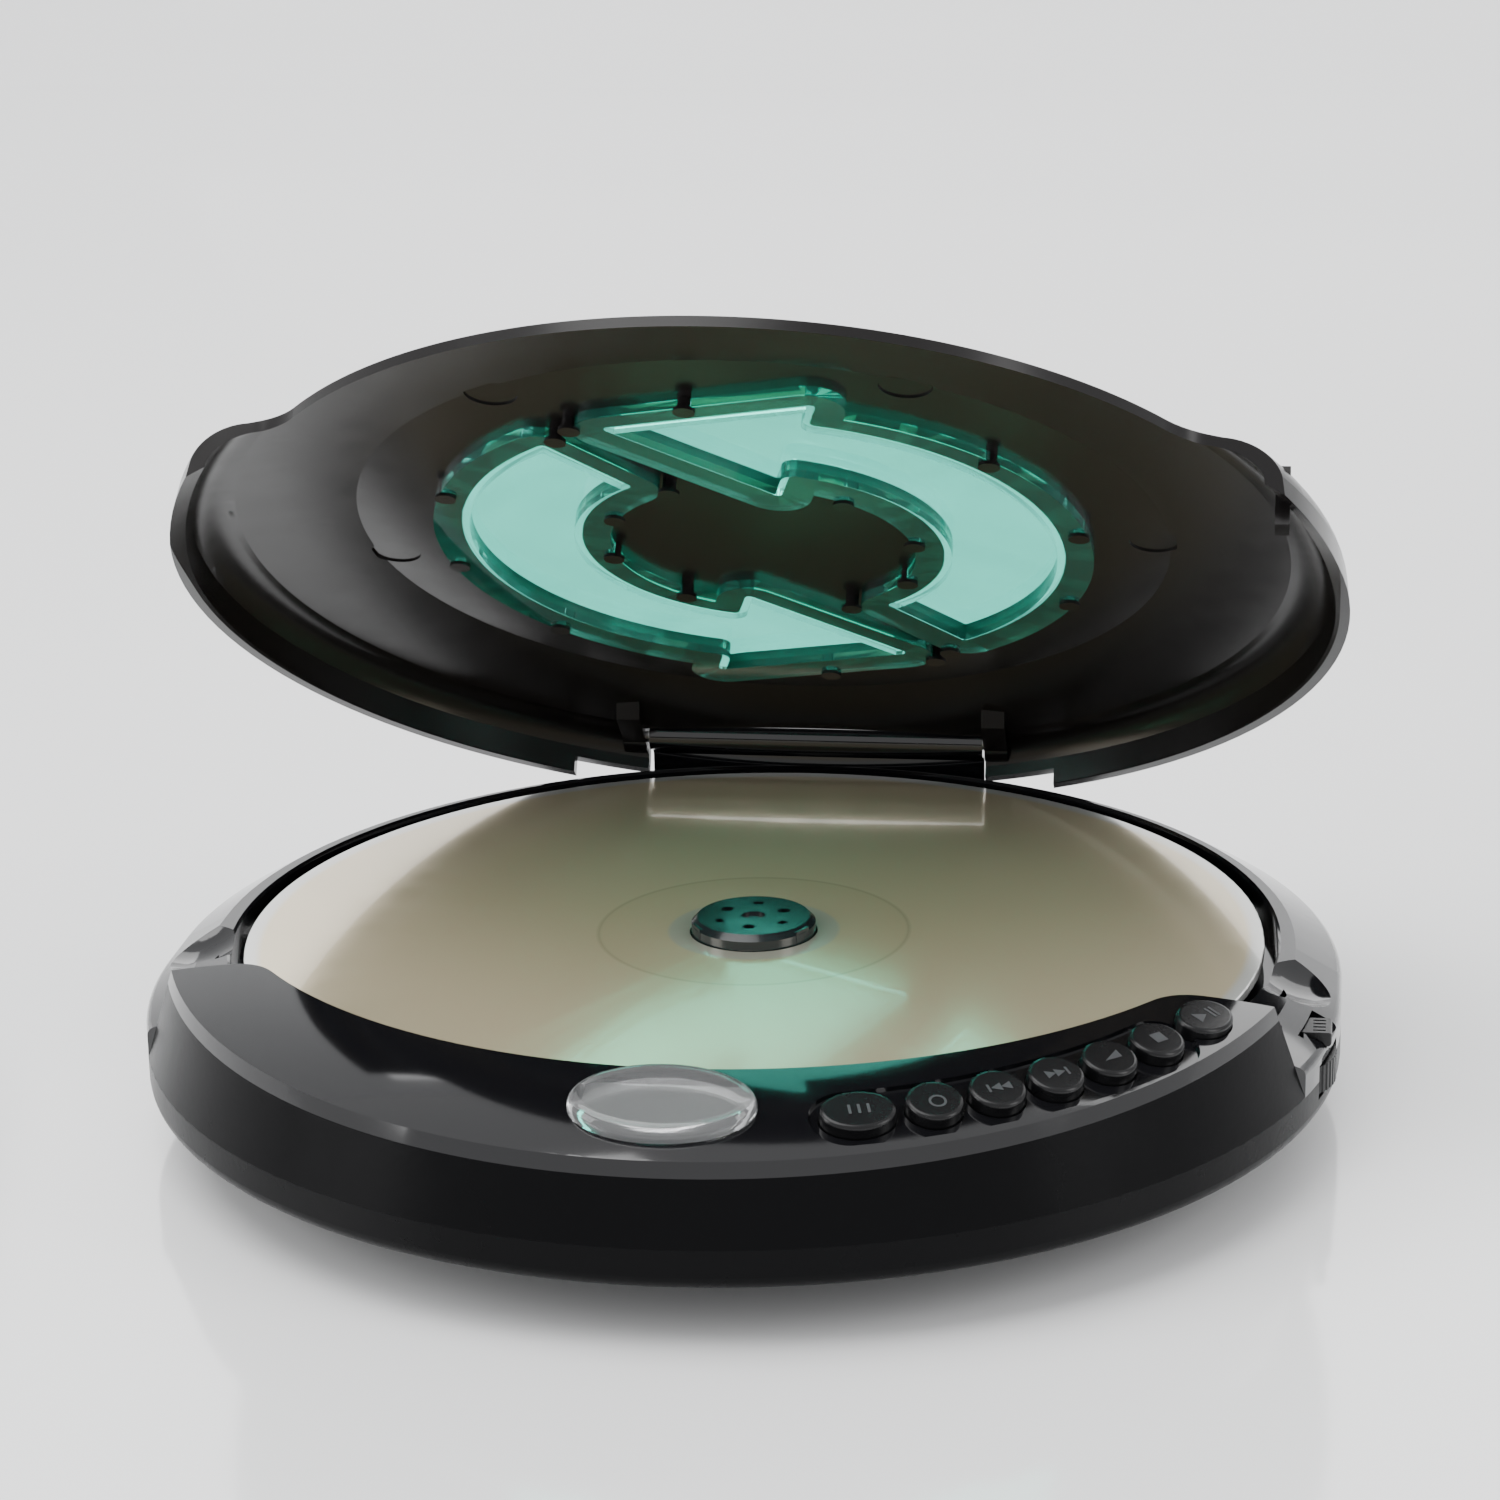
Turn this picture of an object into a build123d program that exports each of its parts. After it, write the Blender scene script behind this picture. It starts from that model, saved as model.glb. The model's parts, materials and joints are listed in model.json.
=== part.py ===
"""Portable compact-disc player: round body, hinged lid with two arrow-shaped windows."""
import os
from math import atan, atan2, cos, degrees, radians, sin, sqrt

from build123d import *

os.makedirs("parts", exist_ok=True)

# ---------------------------------------------------------------- driving dimensions (mm)
# Origin: middle of the flat underside, on the disc axis. +Z up, front edge towards -Y.
body_radius = 69.0
front_centre_y = -9.0          # centre of the front arc of the outline
rear_centre_y = -1.5           # centre of the rear arc
wall = 1.6
gap = 0.3                      # between the lid and what it closes on

disc_radius = 60.0
disc_thickness = 1.2
disc_bore_radius = 7.5
disc_top = 16.4

parting_z = 10.4               # where the lower and upper cases meet
floor_t = 1.5
underside_slope_z = 6.2        # the underside slopes up to this height at the edge
underside_slope_run = 21.0
foot_height = 1.2
foot_radius = 4.0

well_radius = 61.6
deck_top = 13.6
deck_t = 1.4
rim_z = 16.7
well_chamfer = 0.3
ring_run = 5.4                 # the ring falls outwards by ring_drop over ring_run
ring_drop = 3.1

lip_radius = 61.3              # back edge of the raised control panel
panel_back_z = 23.5
panel_mid_z = 21.6
panel_front_z = 18.9
panel_mid_radius = 68.5
panel_front_radius = 76.0
panel_t = 1.5
front_draft = 2.4              # the front wall leans in by this much at its top
horn_x = 48.3                  # where the panel's horns leave the well
horn_y = -35.1
horn_slope = 0.22

hinge_y = 60.5
hinge_z = 21.0
lid_open_angle = 38.2
lid_radius = 68.9
lid_centre_y = -1.1
lid_rim_z = 14.8
lid_shoulder_z = 18.2
lid_top_z = 25.8
crown_edge = 63.5              # the spherical crown ends here and the shoulder begins
ceiling_z = 23.1               # inner face of the flat middle of the lid
ceiling_radius = 48.0
hinge_half_width = 22.0
hinge_pin_radius = 1.0

window_outer_radius = 35.75
window_inner_radius = 21.4
arrow_tip = (36.1, -114.3)     # radius, angle
arrow_barb_angle = -75.0
arrow_tail_angle = 52.5
head_outer_radius = 41.4
head_inner_radius = 15.0
flange_width = 3.3
flange_t = 1.2
stake_radius = 0.8

row_centre_y = -7.0            # the button row is an arc about this point
row_radius = 63.2
row_angles = [18.6, 26.0, 32.4, 38.8, 45.2, 51.6]
play_angle = 59.0
play_radius = 63.3
recess_depth = 0.5

lens_y = -67.6
lens_half_x = 9.9
lens_half_y = 5.9


def polar(radius, angle):
    """Point in the XY plane at this radius and angle in degrees from +X."""
    return (radius * cos(radians(angle)), radius * sin(radians(angle)))


def from_front(radius, angle):
    """Point at this distance from the disc axis, angle in degrees from -Y towards +X."""
    return (radius * sin(radians(angle)), -radius * cos(radians(angle)))


def level_edges(shape, z):
    """Edges of a shape that lie wholly at one height."""
    return ShapeList(
        e for e in shape.edges()
        if abs(e.bounding_box().min.Z - z) < 0.01 and abs(e.bounding_box().max.Z - z) < 0.01
    )


def finish(part, name):
    """Label one sub-part and write its STEP file."""
    part.label = name
    export_step(part, "parts/" + name + ".step")
    return part


# ---------------------------------------------------------------- shared profiles
def outline(inset=0.0):
    """Body outline: two equal arcs, front and rear, joined by short straight sides."""
    radius = body_radius - inset
    with BuildSketch(Plane.XY, mode=Mode.PRIVATE) as shape:
        with Locations((0, front_centre_y), (0, rear_centre_y)):
            Circle(radius)
        with Locations((0, (front_centre_y + rear_centre_y) / 2)):
            Rectangle(2 * radius, rear_centre_y - front_centre_y)
    return shape.sketch


def horn_line(x):
    """Y of the panel's end edges at this distance from the middle plane."""
    return horn_y + horn_slope * (x - horn_x)


def crescent(shrink=0.0):
    """Footprint of the raised control panel at the front of the body."""
    with BuildSketch(Plane.XY, mode=Mode.PRIVATE) as shape:
        add(outline(shrink))
        with BuildSketch(Plane.XY, mode=Mode.INTERSECT):
            Polygon(
                (-90, -100),
                (90, -100),
                (90, horn_line(90) - shrink),
                (0, horn_line(0) - shrink),
                (-90, horn_line(90) - shrink),
                align=None,
            )
        Circle(lip_radius + shrink, mode=Mode.SUBTRACT)
        corners = [v for v in shape.vertices() if 46 < abs(v.X) < 56 and v.Y > -42]
        fillet(corners, 9.0)
    return shape.sketch


def panel_height(radius):
    """Height of the control panel's crowned top at this distance from the disc axis."""
    t = radius - lip_radius
    mid = panel_mid_radius - lip_radius
    end = panel_front_radius - lip_radius
    mid_fall = panel_mid_z - panel_back_z
    end_fall = panel_front_z - panel_back_z
    curve = (end_fall / end - mid_fall / mid) / (end - mid)
    slope = mid_fall / mid - curve * mid
    return panel_back_z + slope * t + curve * t * t


def panel_tilt(radius):
    """Angle in degrees by which the panel slopes down at this distance."""
    step = 0.01
    return degrees(atan((panel_height(radius) - panel_height(radius + step)) / step))


def below_panel(offset):
    """Solid of revolution under the panel's top surface, lowered by offset."""
    with BuildPart(mode=Mode.PRIVATE) as body:
        with BuildSketch(Plane.XZ):
            with BuildLine():
                a = (lip_radius - 2, panel_height(lip_radius - 2) - offset)
                b = (panel_mid_radius, panel_height(panel_mid_radius) - offset)
                c = (panel_front_radius + 8, panel_height(panel_front_radius + 8) - offset)
                ThreePointArc(a, b, c)
                Polyline(c, (c[0], 0), (0, 0), (0, a[1]), a)
            make_face()
        revolve(axis=Axis.Z)
    return body.part


# ================================================================= cases
screw_points = [(-41.0, -37.0), (41.0, -37.0), (-50.0, 36.0), (50.0, 36.0)]
screw_radius = 1.0
screw_head_radius = 2.0
screw_seat_z = 7.4
boss_radius = 3.2
foot_points = [(-33.0, -29.5), (33.0, -29.5), (-30.0, 28.0), (30.0, 28.0)]

battery_half_x = 26.2          # compartment for two AAA cells lying side by side
battery_front_y = -49.4
battery_back_y = -27.4
battery_mid_y = (battery_front_y + battery_back_y) / 2
battery_depth = battery_back_y - battery_front_y
battery_roof_z = deck_top - deck_t - 0.1
door_half_x = 26.75
door_front_y = -50.65
door_hinge_y = -26.7
door_low_z = 0.05
door_t = 1.3
door_peg_radius = 0.5
door_peg_reach = 27.9
recess_t = 1.4

jack_z = 9.4
headphone_y = 2.0
headphone_radius = 3.6
power_y = 15.0
power_half_width = 4.6
side_wall_x = -body_radius

wheel_centre = (60.4, -20.6)
wheel_radius = 8.2
wheel_z = 8.6
wheel_t = 3.2
tongue_x = 61.2                # latch tongue under the lid's right front corner
tongue_y = -27.0
slider_front_y = -23.5
slider_back_y = -19.0
slider_low_z = 13.4
slider_t = 1.6

chassis_z = 10.8               # plate that carries the drive, hung under the deck
chassis_t = 1.2
damper_points = [(-23.0, -10.0), (23.0, -12.0), (-23.0, 40.0), (25.5, 44.0)]
damper_low_z = 9.2
board_level = 5.4              # underside of the main circuit board
post_foot_z = 1.3
posts = [                      # x, y, radius, foot and top of the pillars that stand on the floor
    (-40.0, -16.0, 2.0, post_foot_z, board_level),
    (-31.0, 30.0, 2.0, post_foot_z, board_level),
    (-50.0, 22.0, 2.0, 3.0, board_level),
    (51.0, -17.5, 1.8, 2.2, 6.6),
    (-23.0, -10.0, 2.4, post_foot_z, damper_low_z),
    (23.0, -12.0, 2.4, post_foot_z, damper_low_z),
    (-23.0, 40.0, 2.4, post_foot_z, damper_low_z),
    (25.5, 44.0, 2.4, 2.3, damper_low_z),
]


def case_block(inset, base_z, slope_z):
    """Closed lower-case shape: the underside slopes up to the edge all round."""
    with BuildPart(mode=Mode.PRIVATE) as block:
        with BuildSketch(Plane.XY.offset(base_z)):
            add(outline(inset + underside_slope_run))
        with BuildSketch(Plane.XY.offset(slope_z)):
            add(outline(inset))
        loft()
        with BuildSketch(Plane.XY.offset(slope_z)):
            add(outline(inset))
        extrude(amount=parting_z - slope_z)
    return block.part


def side_openings():
    """Holes through the side walls for the jacks, the volume wheel and the open slider."""
    with BuildPart(mode=Mode.PRIVATE) as holes:
        with BuildSketch(Plane.YZ.offset(side_wall_x - 2)):
            with Locations((headphone_y, jack_z)):
                Circle(headphone_radius)
            with Locations((power_y, jack_z)):
                RectangleRounded(2 * power_half_width, 6.4, 1.0)
        extrude(amount=12)
        with BuildSketch(Plane.XY.offset(wheel_z - 0.4)):
            with Locations(wheel_centre):
                Circle(wheel_radius + 0.5)
        extrude(amount=wheel_t + 0.8)
    return holes.part


with BuildPart() as bottom_case:
    add(case_block(0.0, 0.0, underside_slope_z))
    fillet(level_edges(bottom_case, underside_slope_z), 1.6)
    add(case_block(wall, floor_t, underside_slope_z + floor_t), mode=Mode.SUBTRACT)
    with BuildSketch(Plane.XY.offset(floor_t - 0.4)):
        with Locations(*screw_points):
            Circle(boss_radius)
    extrude(amount=parting_z - 0.3 - floor_t + 0.4)
    add(case_block(0.0, 0.0, underside_slope_z), mode=Mode.INTERSECT)
    with BuildSketch(Plane.XY):
        with Locations(*screw_points):
            Circle(screw_radius + 0.3)
    extrude(amount=parting_z, mode=Mode.SUBTRACT)
    with BuildSketch(Plane.XY):
        with Locations(*screw_points):
            Circle(screw_head_radius + 0.3)
    extrude(amount=screw_seat_z, mode=Mode.SUBTRACT)
    with BuildSketch(Plane.XY):
        with Locations(*foot_points):
            Circle(foot_radius + 0.05)
    extrude(amount=0.6, mode=Mode.SUBTRACT)
    with BuildSketch(Plane.XY.offset(floor_t - 0.2)):
        with Locations((0, battery_mid_y)):
            Rectangle(2 * (battery_half_x + wall), battery_depth + 2 * wall)
            Rectangle(2 * battery_half_x, battery_depth, mode=Mode.SUBTRACT)
    extrude(amount=battery_roof_z - floor_t + 0.2)
    with BuildSketch(Plane.XY):
        with Locations((0, battery_mid_y)):
            Rectangle(2 * battery_half_x, battery_depth)
    extrude(amount=parting_z, mode=Mode.SUBTRACT)
    with BuildSketch(Plane.XY):
        with Locations((0, (door_front_y + door_hinge_y) / 2 + 0.275)):
            Rectangle(2 * door_half_x + 0.3, door_hinge_y - door_front_y + 0.85)
    extrude(amount=recess_t, mode=Mode.SUBTRACT)
    with BuildSketch(Plane.YZ.offset(-door_peg_reach - 0.1)):
        with Locations((door_hinge_y, door_low_z + door_t / 2)):
            Circle(door_peg_radius + 0.06)
    extrude(amount=2 * (door_peg_reach + 0.1), mode=Mode.SUBTRACT)
    for x, y, radius, foot, top in posts:
        with BuildSketch(Plane.XY.offset(foot)):
            with Locations((x, y)):
                Circle(radius)
        extrude(amount=top - foot)
    with BuildSketch(Plane.XY.offset(damper_low_z)):
        with Locations(*damper_points):
            Circle(1.0)
    extrude(amount=chassis_z + chassis_t - damper_low_z)
    add(side_openings(), mode=Mode.SUBTRACT)
finish(bottom_case.part, "bottom_case")


def ring_block(inset, lower):
    """Upper case outside shape: straight side, then the ring's slope up to the rim."""
    with BuildPart(mode=Mode.PRIVATE) as block:
        with BuildSketch(Plane.XY.offset(parting_z)):
            add(outline(inset))
        extrude(amount=rim_z - ring_drop - lower - parting_z)
        with BuildSketch(Plane.XY.offset(rim_z - ring_drop - lower)):
            add(outline(inset))
        with BuildSketch(Plane.XY.offset(rim_z - lower)):
            add(outline(inset + ring_run))
        loft()
    return block.part


hub_hole_radius = 15.0
pickup_slot_end = 60.0
pickup_slot_half = 13.0
scoop_radius = 10.2
scoop_points = [(66.0, -11.5, 24.3), (-66.0, -11.5, 24.3)]
barrel_radius = 2.0
pin_inner_x = 18.0
hinge_pin_plane = Plane(origin=(0, hinge_y, hinge_z), x_dir=(0, 1, 0), z_dir=(1, 0, 0))

with BuildPart() as top_case:
    add(ring_block(0.0, 0.0))
    fillet(level_edges(top_case, rim_z - ring_drop), 1.2)
    with BuildSketch(Plane.XY.offset(deck_top)):
        Circle(well_radius)
    extrude(amount=rim_z, mode=Mode.SUBTRACT)
    with BuildSketch(Plane.XY.offset(rim_z - well_chamfer)):
        Circle(well_radius)
    with BuildSketch(Plane.XY.offset(rim_z)):
        Circle(well_radius + well_chamfer)
    loft(mode=Mode.SUBTRACT)
    with BuildSketch(Plane.XY.offset(parting_z)):
        add(outline(wall))
    extrude(amount=deck_top - deck_t - parting_z, mode=Mode.SUBTRACT)
    with BuildPart(mode=Mode.SUBTRACT):
        add(ring_block(wall, wall))
        with BuildSketch(Plane.XY.offset(parting_z)):
            Circle(well_radius + wall)
        extrude(amount=rim_z, mode=Mode.SUBTRACT)
    with BuildSketch(Plane.XY.offset(parting_z)):
        add(crescent())
    extrude(amount=rim_z, mode=Mode.SUBTRACT)
    with BuildSketch(Plane.XY.offset(deck_top - deck_t)):
        Circle(hub_hole_radius)
        with Locations((0, pickup_slot_end / 2)):
            Rectangle(2 * pickup_slot_half, pickup_slot_end)
    extrude(amount=deck_t, mode=Mode.SUBTRACT)
    for place in scoop_points:
        with Locations(place):
            Sphere(scoop_radius, mode=Mode.SUBTRACT)
    with BuildSketch(Plane.XY.offset(deck_top - deck_t)):
        with Locations(*screw_points):
            Circle(boss_radius - 0.4)
    extrude(amount=-1.6)
    with BuildSketch(Plane.XY.offset(deck_top - deck_t)):
        with Locations(*screw_points):
            Circle(screw_radius)
    extrude(amount=-1.6, mode=Mode.SUBTRACT)
    add(side_openings(), mode=Mode.SUBTRACT)
    with BuildSketch(Plane.XY.offset(rim_z - 3.2)):
        with Locations((tongue_x, tongue_y - 0.1)):
            Rectangle(2.6, 4.4)
    extrude(amount=5, mode=Mode.SUBTRACT)
    with BuildSketch(Plane.XY.offset(slider_low_z - 0.2)):
        with Locations((67.0, (slider_front_y + slider_back_y) / 2 + 0.75)):
            Rectangle(7.0, slider_back_y - slider_front_y + 2.1)
        with Locations((62.7, -21.1)):
            Rectangle(4.4, 7.8)
    extrude(amount=slider_t + 0.4, mode=Mode.SUBTRACT)
    with BuildPart():
        with BuildSketch(hinge_pin_plane):
            with BuildLine():
                Polyline(
                    (1.4, deck_top - 0.1 - hinge_z),
                    (6.0, deck_top - 0.1 - hinge_z),
                    (6.0, -4.0),
                    (1.4, 1.4),
                    (-1.2, 0.0),
                    (1.4, -3.0),
                    close=True,
                )
            make_face()
        extrude(amount=hinge_half_width, both=True)
        with BuildSketch(Plane.XY):
            add(outline(0.4))
        extrude(amount=40, mode=Mode.INTERSECT)
    with BuildSketch(hinge_pin_plane):
        Circle(barrel_radius)
    extrude(amount=hinge_half_width, both=True)
    for side in (-1, 1):
        with BuildSketch(hinge_pin_plane.offset(side * pin_inner_x)):
            Circle(hinge_pin_radius)
        extrude(amount=side * 5, mode=Mode.SUBTRACT)
finish(top_case.part, "top_case")


# ================================================================= control panel
def front_block(inset, shrink):
    """Crescent-shaped block with the drafted front wall."""
    top_z = 26.0
    lean = front_draft * (top_z - parting_z) / (panel_front_z - parting_z)
    with BuildPart(mode=Mode.PRIVATE) as block:
        with BuildSketch(Plane.XY.offset(parting_z)):
            add(outline(inset))
        with BuildSketch(Plane.XY.offset(top_z)):
            add(outline(inset + lean))
        loft()
        with BuildSketch(Plane.XY.offset(parting_z)):
            add(crescent(shrink))
        extrude(amount=top_z - parting_z, mode=Mode.INTERSECT)
    return block.part


def panel_plane(radius, angle):
    """Plane lying on the panel's top surface, x along the rim, z along its normal."""
    x, y = from_front(radius, angle)
    tilt = radians(panel_tilt(radius))
    out_x, out_y = from_front(1.0, angle)
    normal = (out_x * sin(tilt), out_y * sin(tilt), cos(tilt))
    along = (cos(radians(angle)), sin(radians(angle)), 0)
    return Plane(origin=(x, y, panel_height(radius)), x_dir=along, z_dir=normal)


def row_plane(radius, angle):
    """Panel plane at a place given about the centre of the button row."""
    x = radius * sin(radians(angle))
    y = row_centre_y - radius * cos(radians(angle))
    return panel_plane(sqrt(x * x + y * y), degrees(atan2(x, -y)))


button_names = ["mode", "program", "back", "forward", "bass", "stop"]
button_specs = []              # name, plane on the panel, half width, half depth
for index, angle in enumerate(row_angles):
    half_width = 4.0 if index == 0 else 3.05
    button_specs.append((button_names[index], row_plane(row_radius, angle), half_width, 2.95))
button_specs.append(("play", row_plane(play_radius, play_angle), 3.6, 2.8))

lens_plane = panel_plane(-lens_y, 0.0)
lens_clear = 0.05
button_clear = 0.15

with BuildPart() as front_housing:
    add(front_block(0.0, 0.02))
    add(below_panel(panel_t + 0.02), mode=Mode.INTERSECT)
    add(front_block(wall - 0.3, wall), mode=Mode.SUBTRACT)
finish(front_housing.part, "front_housing")

row_arc = Edge.make_circle(
    row_radius,
    plane=Plane(origin=(0, row_centre_y, 0)),
    start_angle=row_angles[0] - 91.0,
    end_angle=row_angles[-1] - 89.0,
)

with BuildPart(mode=Mode.PRIVATE) as recess_tool:
    with BuildSketch(Plane.XY.offset(parting_z)):
        SlotArc(row_arc, 8.0)
    extrude(amount=20)
    add(below_panel(recess_depth), mode=Mode.SUBTRACT)

with BuildPart() as control_panel:
    add(front_block(0.0, 0.02))
    add(below_panel(0.0), mode=Mode.INTERSECT)
    add(below_panel(panel_t), mode=Mode.SUBTRACT)
    add(recess_tool.part, mode=Mode.SUBTRACT)
    for name, plane, half_width, half_depth in button_specs:
        with BuildSketch(plane.offset(-4)):
            Ellipse(half_width + button_clear, half_depth + button_clear)
        extrude(amount=8, mode=Mode.SUBTRACT)
    with BuildSketch(lens_plane.offset(-4)):
        Ellipse(lens_half_x + lens_clear, lens_half_y + lens_clear)
    extrude(amount=8, mode=Mode.SUBTRACT)
finish(control_panel.part, "control_panel")

with BuildPart() as lcd_lens:
    with BuildSketch(lens_plane.offset(-panel_t)):
        Ellipse(lens_half_x, lens_half_y)
    extrude(amount=panel_t + 1.5)
    fillet(lcd_lens.faces().sort_by(Axis(lens_plane.origin, lens_plane.z_dir))[-1].edges(), 1.4)
finish(lcd_lens.part, "lcd_lens")

with BuildPart() as lcd_module:
    with BuildSketch(lens_plane.offset(-panel_t - 0.2)):
        RectangleRounded(17.0, 7.4, 0.6)
    extrude(amount=-1.5)
finish(lcd_module.part, "lcd_module")

board_z = 13.4
board_t = 1.0
flange_drop = panel_t + 0.05
switch_height = 1.5

for name, plane, half_width, half_depth in button_specs:
    stem_length = (plane.origin.Z - board_z - board_t - switch_height) / plane.z_dir.Z - 1.5
    with BuildPart() as button:
        with BuildSketch(plane.offset(-flange_drop - 0.9)):
            Ellipse(half_width, half_depth)
        extrude(amount=flange_drop + 0.9 + 1.1)
        fillet(button.faces().sort_by(Axis(plane.origin, plane.z_dir))[-1].edges(), 0.45)
        with BuildSketch(plane.offset(-flange_drop - 0.9)):
            Ellipse(half_width + 0.3, half_depth + 0.3)
        extrude(amount=0.9)
        with BuildSketch(plane.offset(-flange_drop - 0.9)):
            Circle(1.1)
        extrude(amount=-(stem_length - flange_drop - 0.9 + 1.0))
    finish(button.part, "button_" + name)

board_arc = Edge.make_circle(
    row_radius - 0.6, plane=Plane(origin=(0, row_centre_y, 0)), start_angle=-76, end_angle=-33
)

with BuildPart() as switch_board:
    with BuildSketch(Plane.XY.offset(board_z)):
        SlotArc(board_arc, 6.4)
    extrude(amount=board_t)
finish(switch_board.part, "switch_board")

with BuildPart() as tact_switches:
    for name, plane, half_width, half_depth in button_specs:
        reach = (plane.origin.Z - board_z - board_t) / plane.z_dir.Z
        foot = plane.origin - plane.z_dir * reach
        with BuildSketch(Plane.XY.offset(board_z + board_t)):
            with Locations((foot.X, foot.Y)):
                Rectangle(2.6, 2.6)
        extrude(amount=0.9)
finish(tact_switches.part, "tact_switches")


# ================================================================= lid
open_turn = radians(lid_open_angle)


def opened(x, y, z):
    """Where a point of the closed lid lies once the lid is opened about its hinge."""
    back = y - hinge_y
    up = z - hinge_z
    return (
        x,
        hinge_y + back * cos(open_turn) + up * sin(open_turn),
        hinge_z - back * sin(open_turn) + up * cos(open_turn),
    )


lid_floor = Plane(origin=opened(0, 0, 0), x_dir=(1, 0, 0), z_dir=(0, sin(open_turn), cos(open_turn)))
lid_middle = Plane(origin=opened(0, lid_centre_y, 0), x_dir=(1, 0, 0), z_dir=lid_floor.z_dir)
lid_profile = Plane(origin=lid_middle.origin, x_dir=(1, 0, 0), z_dir=-lid_floor.y_dir)
lid_axis = Axis(lid_middle.origin, lid_middle.z_dir)
hinge_plane = Plane(origin=(0, hinge_y, hinge_z), x_dir=(0, 1, 0), z_dir=(1, 0, 0))


def lid_level(z):
    """Plane at this height of the closed lid, centred on the disc axis."""
    return lid_floor.offset(z)


def crown_z(radius):
    """Height of the spherical crown of the lid at this distance from its middle."""
    drop = lid_top_z - 22.1
    sphere = (crown_edge * crown_edge + drop * drop) / (2 * drop)
    return lid_top_z - sphere + sqrt(sphere * sphere - radius * radius)


def dome():
    """Solid under the lid's outer surface, down to the rim."""
    with BuildPart(mode=Mode.PRIVATE) as body:
        with BuildSketch(lid_profile):
            with BuildLine():
                Line((0, lid_rim_z), (lid_radius, lid_rim_z))
                Line((lid_radius, lid_rim_z), (68.5, lid_shoulder_z))
                ThreePointArc((68.5, lid_shoulder_z), (67.2, 20.6), (crown_edge, 22.1))
                ThreePointArc((crown_edge, 22.1), (crown_edge / 2, crown_z(crown_edge / 2)), (0, lid_top_z))
                Line((0, lid_top_z), (0, lid_rim_z))
            make_face()
        revolve(axis=lid_axis)
    return body.part


def dome_hollow():
    """Space inside the lid: steep side, curved shoulder, flat ceiling."""
    with BuildPart(mode=Mode.PRIVATE) as body:
        with BuildSketch(lid_profile):
            with BuildLine():
                Line((0, lid_rim_z - 1), (67.4, lid_rim_z - 1))
                Line((67.4, lid_rim_z - 1), (66.9, lid_shoulder_z))
                ThreePointArc((66.9, lid_shoulder_z), (65.4, 19.9), (62.0, 20.9))
                ThreePointArc((62.0, 20.9), (55.5, 22.0), (ceiling_radius, ceiling_z))
                Line((ceiling_radius, ceiling_z), (0, ceiling_z))
                Line((0, ceiling_z), (0, lid_rim_z - 1))
            make_face()
        revolve(axis=lid_axis)
    return body.part


def opened_offset(back, up):
    """Offset from the hinge axis, as (y, z), once the lid is opened."""
    return (
        back * cos(open_turn) + up * sin(open_turn),
        -back * sin(open_turn) + up * cos(open_turn),
    )


def front_footprint(grow):
    """Sketch of what the lid leaves free at the front."""
    with BuildSketch(Plane.XY, mode=Mode.PRIVATE) as shape:
        Polygon(
            (-90, -120),
            (90, -120),
            (90, horn_line(90) + grow),
            (0, horn_line(0) + grow),
            (-90, horn_line(90) + grow),
            align=None,
        )
        Circle(lip_radius - grow, mode=Mode.SUBTRACT)
        corners = [v for v in shape.vertices() if 46 < abs(v.X) < 56 and v.Y > -42]
        fillet(corners, 9.0)
    return shape.sketch


def arrow(grow=0.0):
    """Outline of one curved arrow, in the lid's own plane."""
    tip = polar(*arrow_tip)
    barb_out = polar(head_outer_radius, arrow_barb_angle)
    barb_mid = polar(window_outer_radius, arrow_barb_angle)
    arc_mid = (arrow_barb_angle + arrow_tail_angle) / 2
    tail_out = polar(window_outer_radius, arrow_tail_angle)
    tail_in = polar(window_inner_radius, arrow_tail_angle)
    neck_in = polar(window_inner_radius, arrow_barb_angle)
    barb_in = polar(head_inner_radius, arrow_barb_angle)
    with BuildSketch(Plane.XY, mode=Mode.PRIVATE) as shape:
        with BuildLine():
            Polyline(neck_in, barb_in, tip, barb_out, barb_mid)
            ThreePointArc(barb_mid, polar(window_outer_radius, arc_mid), tail_out)
            Line(tail_out, tail_in)
            ThreePointArc(tail_in, polar(window_inner_radius, arc_mid), neck_in)
        make_face()
        fillet(shape.vertices(), 0.7)
        if grow:
            offset(amount=grow, kind=Kind.ARC, mode=Mode.REPLACE)
    return shape.sketch


stake_polar = [                # radius, angle of the heat stakes of one arrow
    (38.0, -118.0),
    (39.3, -96.0),
    (38.4, -42.0),
    (38.1, -9.0),
    (38.3, 22.0),
    (36.5, 57.0),
    (19.0, -118.0),
    (17.9, -52.0),
    (18.4, -8.0),
    (18.6, 28.0),
]
arm_inner = hinge_half_width + 0.3
arm_width = 3.0
arm_radius = 2.5
skirt_relief_half = 31.5
skirt_relief_z = 16.8
tongue_foot_z = 14.0

arm_root = [(-10.5, 2.0), (-8.5, -1.2), (-2.0, -1.9), (0.0, 1.5)]   # back, up from the pin
ejector_points = [(-25.7, -39.9), (-45.5, 5.4), (20.6, -43.2), (46.2, -1.9), (47.0, 30.0)]


def turned(shape, turn):
    """The sketch turned about the lid's middle."""
    return Rot(0, 0, turn) * shape


def stake_places(turn):
    """Heat stake positions of one window."""
    return [polar(radius, angle + turn) for radius, angle in stake_polar]


ring_clearance = lid_floor.location * ring_block(-gap, -gap)

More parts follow.
